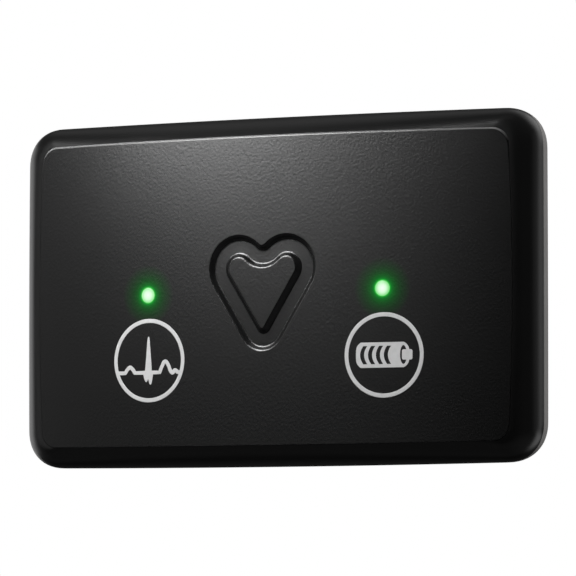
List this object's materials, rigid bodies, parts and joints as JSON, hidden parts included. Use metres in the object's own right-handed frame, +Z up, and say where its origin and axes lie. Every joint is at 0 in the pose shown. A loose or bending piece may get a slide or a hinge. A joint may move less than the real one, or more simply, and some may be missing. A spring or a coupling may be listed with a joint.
{
  "type": "holter monitor",
  "caption": "Pocket ECG recorder: a flat two-part case with a domed matte face, a sunken heart-shaped event key, status lights, a lead socket and a hinged battery door.",
  "frame": {"origin": "middle of the case's footprint, at the level it stands on when upright on its long lower edge", "axes": "+Z up the case, -Y out of the face with the event key, +X to the right as seen from the front"},
  "size_m": [0.0994, 0.0142, 0.0601],
  "materials": {
    "shell_black": "satin black moulded ABS",
    "face_soft_touch": "fine grained soft-touch black",
    "shell_grey": "fine matte grey moulded ABS",
    "clear_plastic": "clear moulded polycarbonate",
    "black_nylon": "moulded nylon",
    "chip_resin": "moulded epoxy",
    "board_laminate": "green solder mask",
    "seal_rubber": "moulded silicone",
    "battery_wrap": "shrink film",
    "steel": "plain",
    "gold_plate": "gold plated contacts",
    "ceramic": "fired white ceramic"
  },
  "bodies": {
    "case": {"front_shell": "shell_black", "rear_shell": "shell_grey", "face_panel": "face_soft_touch", "tactile_switch": "black_nylon", "light_guide_left": "clear_plastic", "light_guide_right": "clear_plastic", "lamp_chip_left": "ceramic", "lamp_chip_right": "ceramic", "case_seal": "seal_rubber", "main_board": "board_laminate", "processor": "chip_resin", "ecg_amplifier": "chip_resin", "motion_sensor": "chip_resin", "radio_shield": "steel", "radio_antenna": "ceramic", "clock_crystal": "steel", "clock_cell": "steel", "buzzer": "black_nylon", "lead_socket": "black_nylon", "lead_insulator": "ceramic", "lead_pin_1": "gold_plate", "lead_pin_2": "gold_plate", "lead_pin_3": "gold_plate", "lead_pin_4": "gold_plate", "lead_pin_5": "gold_plate", "lead_pin_6": "gold_plate", "lead_pin_7": "gold_plate", "battery_pack": "battery_wrap", "contact_block": "black_nylon", "battery_blade_1": "gold_plate", "battery_blade_2": "gold_plate", "battery_blade_3": "gold_plate", "door_seal": "seal_rubber", "card_holder": "steel", "memory_card": "chip_resin", "case_screw_1": "steel", "case_screw_2": "steel", "case_screw_3": "steel", "case_screw_4": "steel"},
    "event_key": {"event_key": "face_soft_touch"},
    "switch_plunger": {"switch_plunger": "steel"},
    "battery_door": {"battery_door": "shell_grey"}
  },
  "joints": [
    {"name": "event_key_press", "type": "slide", "parent": "case", "child": "event_key", "axis": [0, 1, 0], "range_m": [0, 0.0005], "stiffness_N_per_m": 3000},
    {"name": "switch_plunger_press", "type": "slide", "parent": "case", "child": "switch_plunger", "axis": [0, 1, 0], "range_m": [0, 0.0005]},
    {"name": "battery_door_hinge", "type": "hinge", "parent": "case", "child": "battery_door", "pos_m": [0, 0.0059, 0.00951], "axis": [-1, 0, 0], "range_deg": [0, 90]}
  ],
  "couplings": [
    {"joint": "switch_plunger_press", "follows": "event_key_press", "ratio": 1}
  ]
}
